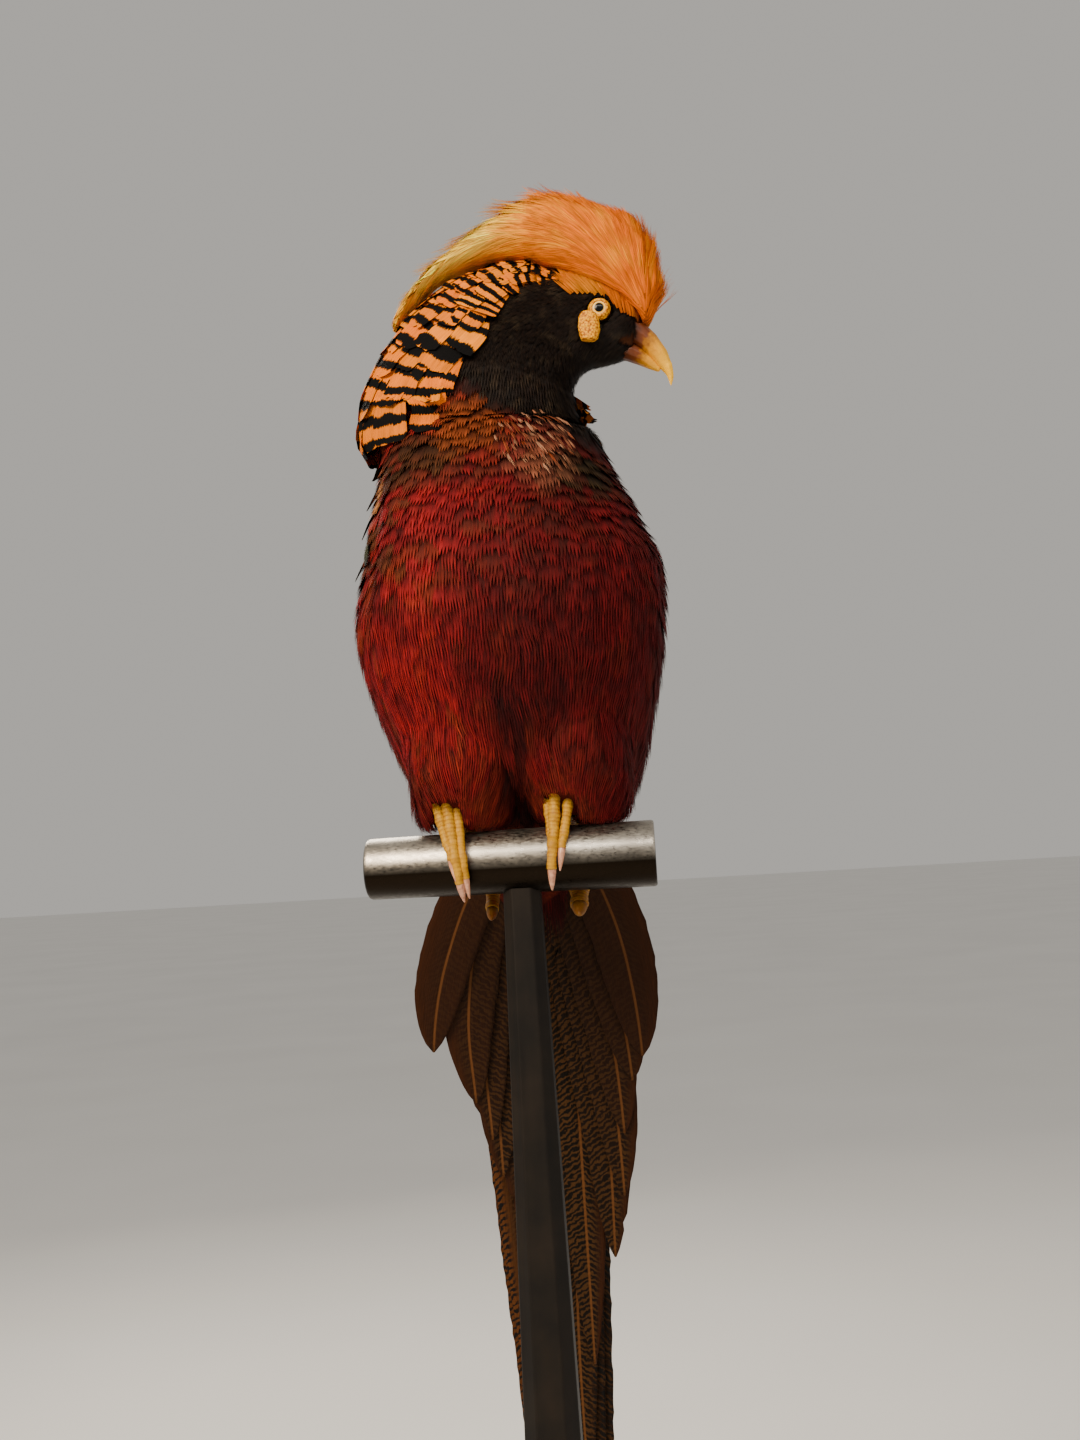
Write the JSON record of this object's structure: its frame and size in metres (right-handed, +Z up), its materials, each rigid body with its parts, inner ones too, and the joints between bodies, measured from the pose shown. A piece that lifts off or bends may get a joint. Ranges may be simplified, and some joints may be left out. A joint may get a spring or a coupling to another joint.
{
  "type": "taxidermy golden pheasant on a perch stand",
  "caption": "Life-size mounted golden pheasant cock gripping a round metal bar on a tapered post and round base, head turned left, long tail hanging behind.",
  "frame": {"origin": "on the floor, at the middle of the underside of the round base", "axes": "+Z up, the bird faces -Y with its head turned to +X, its own left; the perch bar lies along X"},
  "size_m": [0.33, 0.3869, 1.0877],
  "materials": {
    "plumage_red": "soft crimson feathers, hair-like barbs",
    "plumage_dark": "short blackish brown feathers",
    "plumage_gold": "long orange-gold feathers, barred black on the cape",
    "plumage_wing": "chestnut, blue and dark brown wing feathers",
    "plumage_tail": "brown tail feathers, barred and vermiculated",
    "horn": "smooth yellow horn, brown at the root",
    "claw": "pinkish horn",
    "foot_skin": "ochre scaly skin",
    "wattle": "bare granular yellow skin",
    "eye": "polished glass eye with a pale yellow iris",
    "stand_steel": "dark worn steel, semi-gloss",
    "stand_paint": "dark grey, matt to satin"
  },
  "bodies": {
    "root": {"trunk": "plumage_red", "neck": "plumage_dark", "head": "plumage_dark", "crest": "plumage_gold", "cape": "plumage_gold", "bill_upper": "horn", "bill_lower": "horn", "eye_right": "eye", "wattle_right": "wattle", "wing_right": "plumage_wing", "thigh_right": "plumage_red", "foot_right": "foot_skin", "claw_right_inner": "claw", "claw_right_middle": "claw", "claw_right_outer": "claw", "claw_right_hind": "claw", "tail_1_right": "plumage_tail", "tail_2_right": "plumage_tail", "tail_3_right": "plumage_tail", "tail_4_right": "plumage_tail", "tail_5_right": "plumage_tail", "tail_6_right": "plumage_tail", "tail_7_right": "plumage_tail", "tail_8_right": "plumage_tail", "tail_9_right": "plumage_tail", "eye_left": "eye", "wattle_left": "wattle", "wing_left": "plumage_wing", "thigh_left": "plumage_red", "foot_left": "foot_skin", "claw_left_inner": "claw", "claw_left_middle": "claw", "claw_left_outer": "claw", "claw_left_hind": "claw", "tail_1_left": "plumage_tail", "tail_2_left": "plumage_tail", "tail_3_left": "plumage_tail", "tail_4_left": "plumage_tail", "tail_5_left": "plumage_tail", "tail_6_left": "plumage_tail", "tail_7_left": "plumage_tail", "tail_8_left": "plumage_tail", "tail_9_left": "plumage_tail", "stand_bar": "stand_steel", "stand_post": "stand_paint", "stand_base": "stand_paint"}
  },
  "joints": []
}
